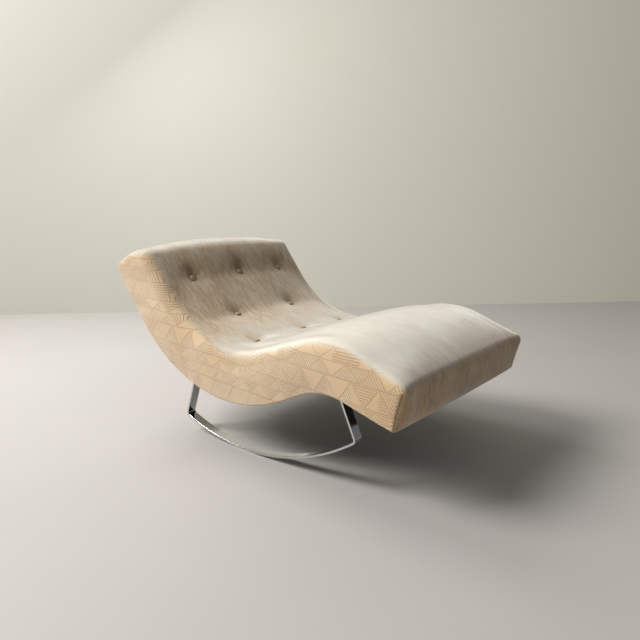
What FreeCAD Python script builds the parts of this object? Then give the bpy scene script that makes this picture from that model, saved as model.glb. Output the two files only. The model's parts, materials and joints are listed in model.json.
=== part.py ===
import FreeCAD, Part
import math
import os

from FreeCAD import Vector

# A rocking chaise lounge: a wave-shaped padded body on two bent flat-bar rockers.
# Millimetres. X runs to the foot end, Y to the sitter's left, Z up from the floor.
# While modelling, x = 0 is the seat corner, where the back line and the rise line meet;
# at the end everything moves so that x = 0 is the middle of the whole length.

# Body
body_width = 880.0

# Upper side of the wave, as the straight lines that its arcs join
seat_corner_height = 313.5
back_angle = 51.9
back_length = 551.0
seat_radius = 512.0
rise_angle = 16.4
rise_length = 715.0
hump_radius = 350.0
foot_angle = 19.9
foot_length = 317.0

# Crest
crest_front_length = 89.0
crest_front_angle = 3.0
crest_rear_angle = 27.0
crest_top_radius = 250.0
crest_front_radius = 30.0
crest_rear_radius = 15.0

# Lower side of the wave
back_thickness = 203.0
under_hump_setback = 28.0
under_hump_drop = 165.5
under_rise_angle = 24.0
under_foot_angle = 16.5
belly_radius = 718.0
under_hump_radius = 260.0

# Foot end
foot_face_lean = 16.8
foot_top_radius = 22.0
foot_bottom_radius = 14.0

# Crown of the padding at mid width, above the side line
crest_corner_crown = 58.0
crest_crown = 58.0
crest_rear_crown = 50.0
seat_crown = 20.0
hump_crown = 60.0
foot_crown = 8.0
crown_steps = 14

# Layers
cover_thickness = 2.0
seat_foam_thickness = 56.0
end_foam_thickness = 28.0
side_foam_thickness = 12.0
deck_cloth_thickness = 1.5
slat_thickness = 12.0
slat_width = 58.0
slat_pitch = 98.0
rib_thickness = 18.0
end_rail_thickness = 25.0
outer_back_length = 430.0

# Rockers
bar_width = 38.0
bar_thickness = 8.0
bar_edge_radius = 1.2
rocker_radius = 1000.0
rocker_half_angle = 26.6
rocker_tilt = 6.9
rocker_inset = 45.0
contact_from_seat_corner = 200.0
bend_radius = 14.0
bend_stub = 2.0
rear_leg_lean = 22.0
front_leg_lean = 23.5
tab_length = 120.0
tab_width = 60.0
tab_thickness = 6.0

# Rocker mounting inside the body
mount_rail_length = 150.0
mount_rail_thickness = 30.0
bolt_diameter = 8.0
bolt_offset = 42.0
bolt_head_diameter = 15.0
bolt_head_height = 4.5
washer_diameter = 20.0
washer_thickness = 1.6
spot_face_clearance = 0.4
nut_flange_diameter = 22.0
nut_flange_thickness = 2.0
nut_barrel_diameter = 11.0
nut_barrel_length = 14.0

# Tufting
button_diameter = 25.0
button_height = 7.0
button_sink = 17.0
button_dome_radius = 4.9
dimple_radius = 62.0
dimple_floor_margin = 1.0
dimple_overrun = 1.0
button_back_diameter = 17.0
button_back_thickness = 2.5
tie_diameter = 2.4
tie_hole_diameter = 5.0
tie_hole_depth = 160.0
tuft_washer_diameter = 34.0
tuft_washer_thickness = 3.0
tuft_washer_room = 2.0
row_first = 135.0
row_pitch = 232.0
row_count = 3
wide_row_spacing = 265.0
narrow_row_spacing = 332.0

# Frame fixings
block_side = 32.0
block_height = 60.0
screw_diameter = 4.5
screw_head_diameter = 9.0
screw_head_height = 3.5
screw_length = 50.0
screw_offset = 62.0
staple_length = 10.0
staple_width = 1.2
staple_proud = 0.8
staple_pitch = 70.0

half_width = body_width / 2
loft_half = half_width - cover_thickness
core_half = loft_half - side_foam_thickness
rib_inner_half = core_half - rib_thickness


def direction(angle):
    """Unit vector in the side view at this angle from +X, in degrees."""
    return Vector(math.cos(math.radians(angle)), 0, math.sin(math.radians(angle)))


def crossing(a, b, c, d):
    """Where the line a-b meets the line c-d in the side view."""
    u = b - a
    v = d - c
    t = ((c.x - a.x) * v.z - (c.z - a.z) * v.x) / (u.x * v.z - u.z * v.x)
    return a + u * t


# Corners of the side profile, anticlockwise seen with +X to the right and starting at the crest
seat_corner = Vector(0, 0, seat_corner_height)
hump_corner = seat_corner + direction(rise_angle) * rise_length
foot_corner = hump_corner + direction(-foot_angle) * foot_length
crest_corner = seat_corner + direction(180 - back_angle) * back_length
crest_corner_top = crest_corner + direction(180 - crest_front_angle) * crest_front_length
under_hump_corner = hump_corner + Vector(-under_hump_setback, 0, -under_hump_drop)
rear_start = seat_corner + direction(270 - back_angle) * back_thickness
rear_end = rear_start + direction(180 - back_angle)
belly_corner = crossing(rear_start, rear_end, under_hump_corner,
                        under_hump_corner + direction(under_rise_angle))
crest_rear_corner = crossing(rear_start, rear_end, crest_corner_top,
                             crest_corner_top + direction(180 + crest_rear_angle))
foot_under_corner = crossing(foot_corner, foot_corner + direction(270 - foot_face_lean),
                             under_hump_corner, under_hump_corner + direction(-under_foot_angle))

PROFILE = [crest_corner, crest_corner_top, crest_rear_corner, belly_corner, under_hump_corner,
           foot_under_corner, foot_corner, hump_corner, seat_corner]
RADII = [crest_front_radius, crest_top_radius, crest_rear_radius, belly_radius,
         under_hump_radius, foot_bottom_radius, foot_top_radius, hump_radius, seat_radius]
# The wooden frame is square at these corners
SQUARE_CORNERS = (0, 1, 2, 5, 6)
CREST_FRONT, CREST_REAR, REAR, BELLY, UNDER_FOOT, FOOT_FACE, FOOT_TOP, RISE, BACK = range(9)
TOP_SIDES = (FOOT_TOP, RISE, BACK)
CREST_SIDES = (CREST_FRONT, CREST_REAR)
UNDER_SIDES = (REAR, BELLY, UNDER_FOOT)

# Crown at the start and the end of each side of the profile
CROWNS = {CREST_FRONT: (crest_corner_crown, crest_crown), CREST_REAR: (crest_crown, crest_rear_crown),
          REAR: (0, 0), BELLY: (0, 0), UNDER_FOOT: (0, 0), FOOT_FACE: (foot_crown, foot_crown),
          FOOT_TOP: (foot_crown, hump_crown), RISE: (hump_crown, seat_crown),
          BACK: (seat_crown, crest_corner_crown)}


def outward(a, b):
    """Unit normal that points out of the profile from its side a-b."""
    along = b - a
    along.normalize()
    return Vector(along.z, 0, -along.x)


def shifted(points, shifts, closed=True):
    """The corners with each side moved outwards by its (start, end) distances."""
    count = len(points)
    sides = []
    for i in range(count if closed else count - 1):
        a, b = points[i], points[(i + 1) % count]
        out = outward(a, b)
        sides.append((a + out * shifts[i][0], b + out * shifts[i][1]))
    if closed:
        return [crossing(*sides[i - 1], *sides[i]) for i in range(count)]
    inner = [crossing(*sides[i - 1], *sides[i]) for i in range(1, count - 1)]
    return [sides[0][0]] + inner + [sides[-1][1]]


def rounded_edges(points, radii, closed=True):
    """Lines and tangent arcs through the corners, in order, as [(edge, side or None), ...]."""
    count = len(points)
    edges = []
    starts = []
    arcs = []
    for i, point in enumerate(points):
        inner = closed or 0 < i < count - 1
        radius = radii[i] if inner else 0
        if radius <= 0:
            starts.append((point, point))
            arcs.append(None)
            continue
        before = points[i - 1] - point
        after = points[(i + 1) % count] - point
        before.normalize()
        after.normalize()
        half = before.getAngle(after) / 2
        reach = radius / math.tan(half)
        middle = before + after
        middle.normalize()
        a = point + before * reach
        b = point + after * reach
        m = point + middle * (radius / math.sin(half) - radius)
        starts.append((a, b))
        arcs.append(Part.Arc(a, m, b).toShape())
    for i in range(count if closed else count - 1):
        if arcs[i]:
            edges.append((arcs[i], None))
        a, b = starts[i][1], starts[(i + 1) % count][0]
        edges.append((Part.LineSegment(a, b).toShape(), i))
    return edges


def turned_in(points, i):
    """True where the profile is hollow at this corner."""
    a, b, c = points[i - 1], points[i], points[(i + 1) % len(points)]
    return (b.x - a.x) * (c.z - b.z) - (b.z - a.z) * (c.x - b.x) < 0


def layer(depths, crown=0.0, sharp=False):
    """Edges of the profile with each side moved in by its depth and out by its crown."""
    shifts = [(CROWNS[i][0] * crown - depths[i], CROWNS[i][1] * crown - depths[i])
              for i in range(len(PROFILE))]
    radii = []
    for i, radius in enumerate(RADII):
        grow = (shifts[i - 1][1] + shifts[i][0]) / 2
        if i == CREST_REAR:
            # The crest's top arc keeps its radius, so the wider front roll fits beside it
            grow -= crest_crown * crown
        if turned_in(PROFILE, i):
            radii.append(radius - grow)
        elif sharp and i in SQUARE_CORNERS:
            radii.append(0)
        else:
            radii.append(max(radius + grow, radius / 4))
    return rounded_edges(shifted(PROFILE, shifts), radii)


def depths(top=0.0, crest=0.0, under=0.0, foot=0.0):
    """How far in each side of the profile lies."""
    values = {}
    for side in TOP_SIDES:
        values[side] = top
    for side in CREST_SIDES:
        values[side] = crest
    for side in UNDER_SIDES:
        values[side] = under
    values[FOOT_FACE] = foot
    return values


def wire_at(edges, y=0.0):
    wire = Part.Wire([edge for edge, side in edges])
    wire.translate(Vector(0, y, 0))
    return wire


def prism(edges, y0, y1):
    """The closed outline as a solid from y0 to y1."""
    return Part.Face(wire_at(edges, y0)).extrude(Vector(0, y1 - y0, 0))


def along(edges, length):
    """Point and direction at this length along a run of edges."""
    for edge, side in edges:
        if length <= edge.Length:
            break
        length -= edge.Length
    at = edge.getParameterByLength(min(length, edge.Length))
    return edge.valueAt(at), edge.tangentAt(at)


def run_of(edges, first, last):
    """The edges from one side of the profile to another, arcs between them included."""
    order = [side for edge, side in edges]
    doubled = edges + edges
    start = order.index(first)
    end = start + [side for edge, side in doubled[start:]].index(last)
    return doubled[start:end + 1]


def length_at(edges, point):
    """How far along a run of edges the nearest place to this point is."""
    target = Part.Vertex(point)
    passed = 0.0
    best = None
    for edge, side in edges:
        distance, pairs, info = edge.distToShape(target)
        if best is None or distance < best[0]:
            at = edge.Curve.parameter(pairs[0][0])
            best = (distance, passed + edge.Curve.length(edge.FirstParameter, at))
        passed += edge.Length
    return best[1]


def set_on(shape, point, normal, y):
    """Places a shape made about +Z at a point of the side view, its +Z along the normal."""
    turn = math.degrees(math.atan2(normal.x, normal.z))
    copy = shape.copy()
    copy.rotate(Vector(0, 0, 0), Vector(0, 1, 0), turn)
    copy.translate(Vector(point.x, y, point.z))
    return copy


def largest(shape):
    return max(shape.Solids, key=lambda solid: solid.Volume)


def slab(point, tangent, length, height, y0, y1):
    """A block of this length along the tangent, centred on a point of the side view."""
    box = Part.makeBox(length, y1 - y0, height, Vector(-length / 2, y0, -height / 2))
    normal = Vector(-tangent.z, 0, tangent.x)
    return set_on(box, point, normal, 0)


def disc(radius, height, base=0.0):
    return Part.makeCylinder(radius, height, Vector(0, 0, base))


# Nested outlines of the layers
foam_bottom = depths(cover_thickness + seat_foam_thickness, cover_thickness + end_foam_thickness,
                     cover_thickness, cover_thickness + end_foam_thickness)
cloth_bottom = dict(foam_bottom)
slat_bottom = dict(foam_bottom)
rib_outline = dict(foam_bottom)
for side in TOP_SIDES:
    cloth_bottom[side] += deck_cloth_thickness
    slat_bottom[side] = cloth_bottom[side] + slat_thickness
    rib_outline[side] = slat_bottom[side]
for side in CREST_SIDES + (FOOT_FACE,):
    rib_outline[side] += end_rail_thickness

outer_edges = layer(depths())
foam_bottom_edges = layer(foam_bottom, sharp=True)
cloth_bottom_edges = layer(cloth_bottom, sharp=True)
slat_bottom_edges = layer(slat_bottom, sharp=True)
rib_edges = layer(rib_outline, sharp=True)

under_edges = run_of(outer_edges, REAR, UNDER_FOOT)


def chain(edges, first, last, corners):
    """The edges between two sides, with the corner arcs before and after them or not."""
    doubled = edges + edges
    start = [side for edge, side in doubled].index(first) - corners
    start += len(edges) if start < 0 else 0
    count = len(run_of(edges, first, last)) + 2 * corners
    return [edge for edge, side in doubled[start:start + count]]


def crowned_band(first, last, corners, outer, inner, follows=True):
    """A strip of padding or cover between two depths, crowned over the width.

    Its inner side follows the crown, or is the straight frame's own outline."""
    wires = []
    for step in range(crown_steps + 1):
        turn = math.pi * (step / crown_steps - 0.5)
        crown = math.cos(turn)
        near = chain(layer(outer, crown=crown), first, last, corners)
        if follows:
            deep = chain(layer(inner, crown=crown), first, last, corners)
        else:
            deep = chain(layer(inner, sharp=True), first, last, 0)
        ends = [[run[0].Vertexes[0].Point, run[-1].Vertexes[-1].Point] for run in (near, deep)]
        caps = [Part.LineSegment(ends[0][i], ends[1][i]).toShape() for i in (0, 1)]
        wire = Part.Wire(Part.__sortEdges__(near + deep + caps))
        wire.translate(Vector(0, loft_half * math.sin(turn), 0))
        wires.append(wire)
    return Part.makeLoft(wires, True, False)


def tufts():
    """Length along the seat's upper side, and y, of each button."""
    places = []
    for row in range(row_count):
        s = row_first + row_pitch * row
        if row % 2 == 0:
            places += [(s, -wide_row_spacing), (s, 0.0), (s, wide_row_spacing)]
        else:
            places += [(s, -narrow_row_spacing / 2), (s, narrow_row_spacing / 2)]
    return places


def tuft_frames():
    """Surface point at the button's own y, the outward normal, and y."""
    frames = []
    for s, y in tufts():
        crown = math.sqrt(1 - (y / loft_half) ** 2)
        run = run_of(layer(depths(), crown=crown), FOOT_TOP, BACK)
        point, tangent = along(run, sum(edge.Length for edge, side in run) - s)
        frames.append((point, Vector(tangent.z, 0, -tangent.x), y))
    return frames


FRAMES = tuft_frames()


def dimple():
    """A bell-shaped hollow about +Z, its mouth at z = 0 and a flat floor for the button."""
    floor = button_diameter / 2 + dimple_floor_margin
    rim = Vector(dimple_radius, 0, 0)
    slope = Vector((dimple_radius + floor) / 2, 0, -button_sink / 3)
    low = Vector(floor, 0, -button_sink)
    centre = Vector(0, 0, -button_sink)
    above = Vector(0, 0, dimple_overrun)
    edges = [Part.Arc(rim, slope, low).toShape(),
             Part.LineSegment(low, centre).toShape(),
             Part.LineSegment(centre, above).toShape(),
             Part.LineSegment(above, rim + above).toShape(),
             Part.LineSegment(rim + above, rim).toShape()]
    return Part.Face(Part.Wire(edges)).revolve(Vector(0, 0, 0), Vector(0, 0, 1), 360)


def at_tufts(shape, sink=0.0):
    return [set_on(shape, point - normal * sink, normal, y) for point, normal, y in FRAMES]


def rocker_points():
    """Corners of the bar's centre line: leg top, bend, arc apex, bend, leg top."""
    radius = rocker_radius - bar_thickness / 2
    centre = Vector(contact_from_seat_corner, 0, rocker_radius)
    mid = -90 + rocker_tilt
    rear = mid - rocker_half_angle
    front = mid + rocker_half_angle
    stub = bend_radius + bend_stub
    rear_bend = centre + direction(rear) * radius + direction(rear - 90) * stub
    front_bend = centre + direction(front) * radius + direction(front + 90) * stub
    apex = centre + direction(mid) * (radius / math.cos(math.radians(rocker_half_angle)))
    rear_top = rear_bend + direction(90 - rear_leg_lean) * (2 * under_hump_radius)
    front_top = front_bend + direction(90 + front_leg_lean) * (2 * under_hump_radius)
    return [rear_top, rear_bend, apex, front_bend, front_top]


def leg_top(index):
    """Where a leg's centre line meets the underside, as a length along the underside."""
    points = rocker_points()
    pair = (points[0], points[1]) if index == 0 else (points[4], points[3])
    leg = Part.LineSegment(*pair).toShape()
    wire = Part.Wire([edge for edge, side in under_edges])
    return length_at(under_edges, wire.distToShape(leg)[1][0][0])


LEG_TOPS = [leg_top(0), leg_top(1)]


def bar_outline():
    """The bar's edge line: its centre line moved out and in by half the thickness."""
    points = rocker_points()
    half = bar_thickness / 2
    bends = [0, bend_radius, rocker_radius - half, bend_radius, 0]
    out = shifted(points, [(half, half)] * 4, closed=False)
    back = shifted(points, [(-half, -half)] * 4, closed=False)
    outer = rounded_edges(out, [b + half if b else 0 for b in bends], closed=False)
    inner = rounded_edges(back, [b - half if b else 0 for b in bends], closed=False)
    ends = [Part.LineSegment(out[0], back[0]).toShape(), Part.LineSegment(out[-1], back[-1]).toShape()]
    edges = [edge for edge, side in outer + inner] + ends
    return Part.Wire(Part.__sortEdges__(edges))


def bolt_places(y):
    """Underside point, inward normal and y of each bolt of one rocker."""
    places = []
    for top in LEG_TOPS:
        for offset in (-bolt_offset, bolt_offset):
            point, tangent = along(under_edges, top + offset)
            places.append((point, Vector(-tangent.z, 0, tangent.x), y))
    return places


ROCKER_Y = half_width - rocker_inset - bar_width / 2


def rocker(y):
    """One bent bar with a curved mounting tab welded to the top of each leg."""
    bar = Part.Face(bar_outline()).extrude(Vector(0, bar_width, 0))
    bar.translate(Vector(0, y - bar_width / 2, 0))
    body = prism(outer_edges, y - bar_width, y + bar_width)
    bar = largest(bar.cut(body))
    long_edges = [e for e in bar.Edges if abs(e.BoundBox.YMax - e.BoundBox.YMin) < 0.01
                  and e.Length > 2 * bar_thickness]
    bar = bar.makeFillet(bar_edge_radius, long_edges)
    raised = prism(layer(depths(under=-tab_thickness)), y - tab_width / 2, y + tab_width / 2)
    skin = raised.cut(prism(outer_edges, y - tab_width, y + tab_width))
    for top in LEG_TOPS:
        point, tangent = along(under_edges, top)
        tab = skin.common(slab(point, tangent, tab_length, tab_length, y - tab_width, y + tab_width))
        bar = bar.fuse(tab)
    hole = disc(bolt_diameter / 2, 4 * tab_thickness, -2 * tab_thickness)
    hole = hole.fuse(disc(washer_diameter / 2 + spot_face_clearance, tab_thickness, -2 * tab_thickness))
    holes = [set_on(hole, point, normal, at) for point, normal, at in bolt_places(y)]
    return bar.cut(holes).removeSplitter()


def bolts():
    """Button-head bolts, washers under their heads and tee nuts on top of the rails."""
    screws, washers, nuts = [], [], []
    seat = -tab_thickness
    top = cover_thickness + mount_rail_thickness
    head = disc(bolt_head_diameter / 2, bolt_head_height, seat - washer_thickness - bolt_head_height)
    edge = [e for e in head.Edges if e.BoundBox.ZMax < seat - washer_thickness - bolt_head_height / 2
            and e.BoundBox.XMax - e.BoundBox.XMin > bolt_head_diameter / 2]
    head = head.makeFillet(bolt_head_height / 2, edge)
    shank = disc(bolt_diameter / 2, top - seat + washer_thickness, seat - washer_thickness)
    bolt = head.fuse(shank).removeSplitter()
    washer = disc(washer_diameter / 2, washer_thickness, seat - washer_thickness)
    washer = washer.cut(shank)
    nut = disc(nut_flange_diameter / 2, nut_flange_thickness, top)
    nut = nut.fuse(disc(nut_barrel_diameter / 2, nut_barrel_length, top - nut_barrel_length))
    nut = nut.cut(disc(bolt_diameter / 2, 2 * top, 0)).removeSplitter()
    for y in (-ROCKER_Y, ROCKER_Y):
        for point, normal, at in bolt_places(y):
            screws.append(set_on(bolt, point, normal, at))
            washers.append(set_on(washer, point, normal, at))
            nuts.append(set_on(nut, point, normal, at))
    return screws, washers, nuts


def mount_rails(cutters):
    """Two hardwood rails, curved to the underside, between the side ribs."""
    band = prism(slat_bottom_edges, -rib_inner_half, rib_inner_half)
    inner = dict(slat_bottom)
    for side in UNDER_SIDES:
        inner[side] = cover_thickness + mount_rail_thickness
    band = band.cut(prism(layer(inner, sharp=True), -half_width, half_width))
    rails = []
    for top in LEG_TOPS:
        point, tangent = along(under_edges, top)
        rail = band.common(slab(point, tangent, mount_rail_length, 3 * mount_rail_thickness,
                                -half_width, half_width))
        rails.append(largest(rail.cut(cutters)))
    return rails


def slat_places(run):
    """Lengths along the slats' run: one slat under each row of ties, the rest spaced evenly."""
    total = sum(edge.Length for edge, side in run)
    rows = {}
    for (s, y), (point, normal, at) in zip(tufts(), FRAMES):
        tie = Part.LineSegment(point, point - normal * tie_hole_depth).toShape()
        wire = Part.Wire([edge for edge, side in run])
        rows.setdefault(s, []).append(length_at(run, wire.distToShape(tie)[1][0][0]))
    fixed = [slat_width, total - slat_width] + [sum(row) / len(row) for row in rows.values()]
    fixed.sort()
    places = [fixed[0]]
    for start, end in zip(fixed, fixed[1:]):
        count = max(1, round((end - start) / slat_pitch))
        places += [start + (end - start) * i / count for i in range(1, count + 1)]
    return places


def slats():
    """Shaped cross slats that carry the deck cloth and the foam."""
    band = prism(cloth_bottom_edges, -core_half, core_half)
    band = band.cut(prism(slat_bottom_edges, -half_width, half_width))
    run = run_of(slat_bottom_edges, FOOT_TOP, BACK)
    pieces = []
    for place in slat_places(run):
        point, tangent = along(run, place)
        pieces.append(band.common(slab(point, tangent, slat_width, 4 * slat_thickness,
                                       -half_width, half_width)))
    return pieces


def corner_blocks():
    """Glue blocks in the corners between the end rails and the side ribs."""
    blocks = []
    points = shifted(PROFILE, [(-rib_outline[i], -rib_outline[i]) for i in range(len(PROFILE))])
    for side in (CREST_REAR, FOOT_FACE):
        a, b = points[side], points[side + 1]
        inward = outward(a, b) * -1
        middle = (a + b) * 0.5 + inward * (block_side / 2)
        for y in (-rib_inner_half, rib_inner_half - block_side):
            blocks.append(slab(middle, (b - a).normalize(), block_height, block_side,
                               y, y + block_side))
    return blocks


def frame_screws():
    """Countersunk screws through the side ribs into the ends of the mount rails."""
    shank = disc(screw_diameter / 2, screw_length, 0)
    head = Part.makeCone(screw_head_diameter / 2, screw_diameter / 2, screw_head_height)
    screw = shank.fuse(head).removeSplitter()
    placed = []
    for top in LEG_TOPS:
        for offset in (-screw_offset, screw_offset):
            point, tangent = along(under_edges, top + offset)
            inward = Vector(-tangent.z, 0, tangent.x)
            spot = point + inward * (cover_thickness + mount_rail_thickness / 2)
            for hand in (-1, 1):
                one = screw.copy()
                one.rotate(Vector(0, 0, 0), Vector(1, 0, 0), 90 * hand)
                one.translate(Vector(spot.x, hand * core_half, spot.z))
                placed.append(one)
    return placed


def staples():
    """Staples along both long edges of the dust cover."""
    placed = []
    start = outer_back_length + staple_pitch / 2
    total = sum(edge.Length for edge, side in under_edges)
    steps = int((total - start - staple_pitch / 2) // staple_pitch)
    crown = Part.makeBox(staple_length, staple_width, staple_proud,
                         Vector(-staple_length / 2, -staple_width / 2, -staple_proud))
    for hand in (-1, 1):
        y = hand * (core_half - rib_thickness / 2)
        for i in range(steps + 1):
            point, tangent = along(under_edges, start + staple_pitch * i)
            placed.append(set_on(crown, point, Vector(-tangent.z, 0, tangent.x), y))
    return placed


def build():
    shapes = {}
    screws, washers, nuts = bolts()
    frame_screw_set = frame_screws()

    for name, y in (("right_rocker", -ROCKER_Y), ("left_rocker", ROCKER_Y)):
        shapes[name] = [rocker(y)]
    shapes["rocker_bolts"] = screws
    shapes["bolt_washers"] = washers
    shapes["tee_nuts"] = nuts
    rails = mount_rails(screws + nuts + frame_screw_set)
    shapes["rear_mount_rail"], shapes["front_mount_rail"] = [rails[0]], [rails[1]]

    core_prism = prism(slat_bottom_edges, -core_half, core_half)
    end_rails = core_prism.cut(prism(rib_edges, -half_width, half_width)).Solids
    end_rails.sort(key=lambda solid: solid.CenterOfMass.x)
    shapes["crest_rail"], shapes["foot_rail"] = [end_rails[0]], [end_rails[-1]]

    hardware = Part.makeCompound(frame_screw_set)
    for name, y in (("right_side_rib", -core_half), ("left_side_rib", rib_inner_half)):
        shapes[name] = [prism(rib_edges, y, y + rib_thickness).cut(hardware)]
    centre = prism(rib_edges, -rib_thickness / 2, rib_thickness / 2)
    shapes["frame_screws"] = frame_screw_set
    shapes["corner_blocks"] = corner_blocks()

    tie_holes = at_tufts(disc(tie_hole_diameter / 2, tie_hole_depth, -tie_hole_depth))
    shapes["deck_slats"] = [piece for slat in slats() for piece in slat.cut(tie_holes).Solids]
    cloth = prism(foam_bottom_edges, -core_half, core_half)
    cloth = cloth.cut(prism(cloth_bottom_edges, -half_width, half_width))
    shapes["deck_cloth"] = [cloth.cut(tie_holes)]

    washer_depths = dict(slat_bottom)
    for side in TOP_SIDES:
        washer_depths[side] += tuft_washer_thickness
    below = prism(layer(washer_depths, sharp=True), -half_width, half_width)
    washer_band = core_prism.cut(below)
    tie = disc(tie_diameter / 2, tie_hole_depth - button_sink, -tie_hole_depth)
    shapes["tuft_ties"] = [one.cut(below) for one in at_tufts(tie)]
    tuft_washer = disc(tuft_washer_diameter / 2, tie_hole_depth, -tie_hole_depth)
    shapes["tuft_washers"] = [washer_band.common(one).cut(shapes["tuft_ties"])
                              for one in at_tufts(tuft_washer)]
    room = disc(tuft_washer_diameter / 2 + tuft_washer_room, tie_hole_depth, -tie_hole_depth)
    room_band = Part.makeCompound([washer_band.common(one) for one in at_tufts(room)])
    shapes["centre_rib"] = [largest(centre.cut(rails + [room_band]))]

    skin = depths(cover_thickness, cover_thickness, cover_thickness, cover_thickness)
    sunk_bells = at_tufts(dimple(), cover_thickness)
    shapes["crest_foam"] = [crowned_band(CREST_FRONT, CREST_REAR, 1, skin, foam_bottom, False)]
    shapes["foot_foam"] = [crowned_band(FOOT_FACE, FOOT_FACE, 1, skin, foam_bottom, False)]
    seat = crowned_band(FOOT_TOP, BACK, 0, skin, foam_bottom, False)
    shapes["seat_foam"] = [largest(seat.cut(sunk_bells).cut(tie_holes))]
    for name, y in (("right_side_foam", -loft_half), ("left_side_foam", core_half)):
        shapes[name] = [prism(foam_bottom_edges, y, y + side_foam_thickness)]

    under = crowned_band(REAR, UNDER_FOOT, 0, depths(), skin)
    split_point, split_tangent = along(under_edges, outer_back_length)
    front = slab(split_point + split_tangent * body_width, split_tangent, 2 * body_width,
                 4 * body_width, -half_width, half_width)
    shapes["outer_back_cover"] = [largest(under.cut(front))]
    shapes["dust_cover"] = [largest(under.common(front).cut(screws))]
    inside = crowned_band(FOOT_TOP, BACK, 0, depths(), foam_bottom, False)
    top = crowned_band(FOOT_FACE, CREST_REAR, 1, depths(), skin)
    top = top.fuse([bell.common(inside) for bell in sunk_bells])
    top = top.cut(at_tufts(dimple())).cut(tie_holes)
    shapes["top_cover"] = [largest(top)]
    for name, y in (("right_side_cover", -half_width), ("left_side_cover", loft_half)):
        shapes[name] = [prism(outer_edges, y, y + cover_thickness)]

    button = disc(button_diameter / 2, button_height, -button_sink)
    rim = [e for e in button.Edges if e.BoundBox.ZMin > button_height / 2 - button_sink
           and e.BoundBox.XMax - e.BoundBox.XMin > button_diameter / 2]
    button = button.makeFillet(button_dome_radius, rim)
    back = disc(button_back_diameter / 2, button_back_thickness, -button_sink)
    shapes["tuft_buttons"] = at_tufts(button.cut(back))
    shapes["button_backs"] = at_tufts(back)
    shapes["cover_staples"] = staples()
    return shapes


def length_middle():
    """The middle of the whole length, measured where the crown is full."""
    boxes = [wire_at(layer(depths(), crown=crown)).BoundBox for crown in (0.0, 1.0)]
    return (min(box.XMin for box in boxes) + max(box.XMax for box in boxes)) / 2


shapes = build()
os.makedirs("parts", exist_ok=True)
shift = Vector(-length_middle(), 0, 0)
print("seat corner at x", round(shift.x, 2))
for name, solids in shapes.items():
    shape = Part.makeCompound(solids) if len(solids) > 1 else solids[0]
    shape.translate(shift)
    shape.exportStep("parts/" + name + ".step")
    print(name, len(shape.Solids), "solids", shape.isValid(), round(shape.Volume / 1e6, 4), "litres")
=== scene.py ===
import json
import math

import bmesh
import bpy
import mathutils
import numpy as np
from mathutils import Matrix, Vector, noise

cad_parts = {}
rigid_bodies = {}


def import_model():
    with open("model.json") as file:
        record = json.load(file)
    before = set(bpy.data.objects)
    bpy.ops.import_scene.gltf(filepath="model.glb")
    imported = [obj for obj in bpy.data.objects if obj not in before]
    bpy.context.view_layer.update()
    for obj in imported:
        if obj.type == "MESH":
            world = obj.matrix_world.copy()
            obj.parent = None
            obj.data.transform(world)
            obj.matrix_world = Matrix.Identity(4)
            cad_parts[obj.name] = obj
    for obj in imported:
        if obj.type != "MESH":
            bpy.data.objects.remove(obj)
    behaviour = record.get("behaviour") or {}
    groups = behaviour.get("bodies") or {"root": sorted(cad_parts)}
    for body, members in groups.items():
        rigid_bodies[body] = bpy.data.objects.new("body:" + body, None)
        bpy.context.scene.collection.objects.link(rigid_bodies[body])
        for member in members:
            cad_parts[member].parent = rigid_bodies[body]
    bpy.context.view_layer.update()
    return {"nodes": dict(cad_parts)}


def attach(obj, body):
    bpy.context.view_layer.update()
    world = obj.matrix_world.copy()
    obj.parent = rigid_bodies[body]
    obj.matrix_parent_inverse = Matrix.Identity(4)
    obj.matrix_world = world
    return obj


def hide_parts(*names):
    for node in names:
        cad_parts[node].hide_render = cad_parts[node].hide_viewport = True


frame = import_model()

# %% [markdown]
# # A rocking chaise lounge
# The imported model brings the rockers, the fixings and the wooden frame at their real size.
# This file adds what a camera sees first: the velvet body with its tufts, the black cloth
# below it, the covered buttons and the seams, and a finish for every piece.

# %% [markdown]
# ## Camera
# The camera stands where the photo was taken from: 0.93 m above the floor, beyond the foot end
# and to the right of the piece. Its axes were solved from lines that are parallel on the real
# piece, so two of them are written as unit vectors and a small roll, and the third follows.

# %% Camera
camera_place = Vector((1.5838, -1.7473, 0.9251))
camera_right = Vector((0.7556, 0.6550, 0.0))
camera_down = Vector((0.1273, -0.1469, -0.9809))
camera_roll = 0.02103
photo_size = 640
focal_pixels = 556.5

right = camera_right * math.cos(camera_roll) + camera_down * math.sin(camera_roll)
down = camera_down * math.cos(camera_roll) - camera_right * math.sin(camera_roll)
right.normalize()
back = right.cross(-down).normalized()
up = back.cross(right)

camera_data = bpy.data.cameras.new("camera")
camera_data.sensor_width = 36.0
camera_data.lens = focal_pixels * camera_data.sensor_width / photo_size
camera = bpy.data.objects.new("camera", camera_data)
camera.matrix_world = mathutils.Matrix((
    (right.x, up.x, back.x, camera_place.x),
    (right.y, up.y, back.y, camera_place.y),
    (right.z, up.z, back.z, camera_place.z),
    (0, 0, 0, 1)))
bpy.context.scene.collection.objects.link(camera)
bpy.context.scene.camera = camera
bpy.context.scene.view_settings.view_transform = "Standard"
print("lens:", round(camera_data.lens, 2), "mm")

# %% [markdown]
# ## Shader arithmetic
# A shader graph is easier to read as a formula. `Signal` wraps one socket and turns + - * /
# into Math nodes. `Finish` starts a material and adds any other node through one method.

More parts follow.
